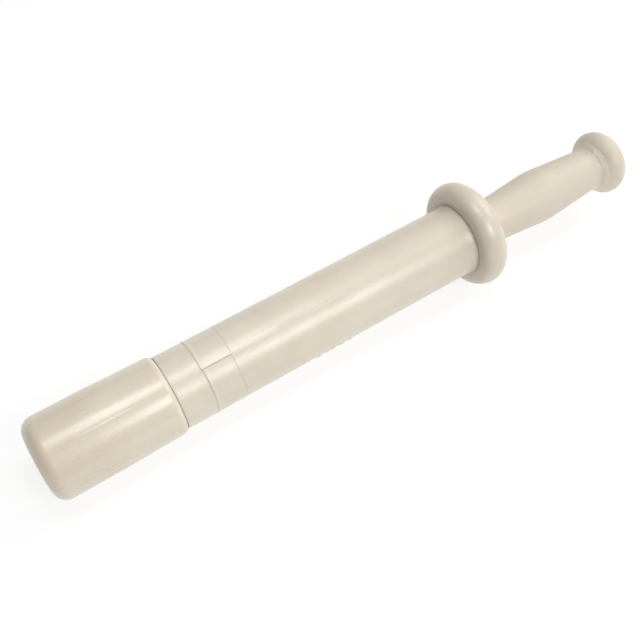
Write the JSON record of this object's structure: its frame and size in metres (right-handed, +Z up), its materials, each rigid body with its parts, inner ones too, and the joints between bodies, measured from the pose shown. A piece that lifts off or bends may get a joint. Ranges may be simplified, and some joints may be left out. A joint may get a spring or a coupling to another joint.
{
  "type": "feed tube pusher",
  "caption": "Long plastic hand pusher with a pull-off rounded foot, straight tubular shaft, rolled guard flange, barrel grip and ball knob.",
  "frame": {"origin": "middle of the object's length, straight under its axis, level with the lowest point of the guard's rim", "axes": "+X along the axis from the working foot to the knob, +Z up as the pusher lies on a table"},
  "size_m": [0.37, 0.0614, 0.0615],
  "materials": {
    "body_plastic": "satin cream polyethylene",
    "foot_plastic": "satin cream polyethylene, worn smooth by use",
    "inner_plastic": "plain cream polyethylene, unpolished"
  },
  "bodies": {
    "pusher": {"nose_plug": "body_plastic", "spacer_ring": "body_plastic", "shaft_tube": "body_plastic", "rear_plug": "inner_plastic", "guard_flange": "body_plastic", "handle_grip": "body_plastic", "end_knob": "body_plastic"},
    "foot": {"foot_cap": "foot_plastic"}
  },
  "joints": [
    {"name": "foot_cap_pull", "type": "slide", "parent": "pusher", "child": "foot", "axis": [-1, 0, 0], "range_m": [0, 0.04]}
  ]
}
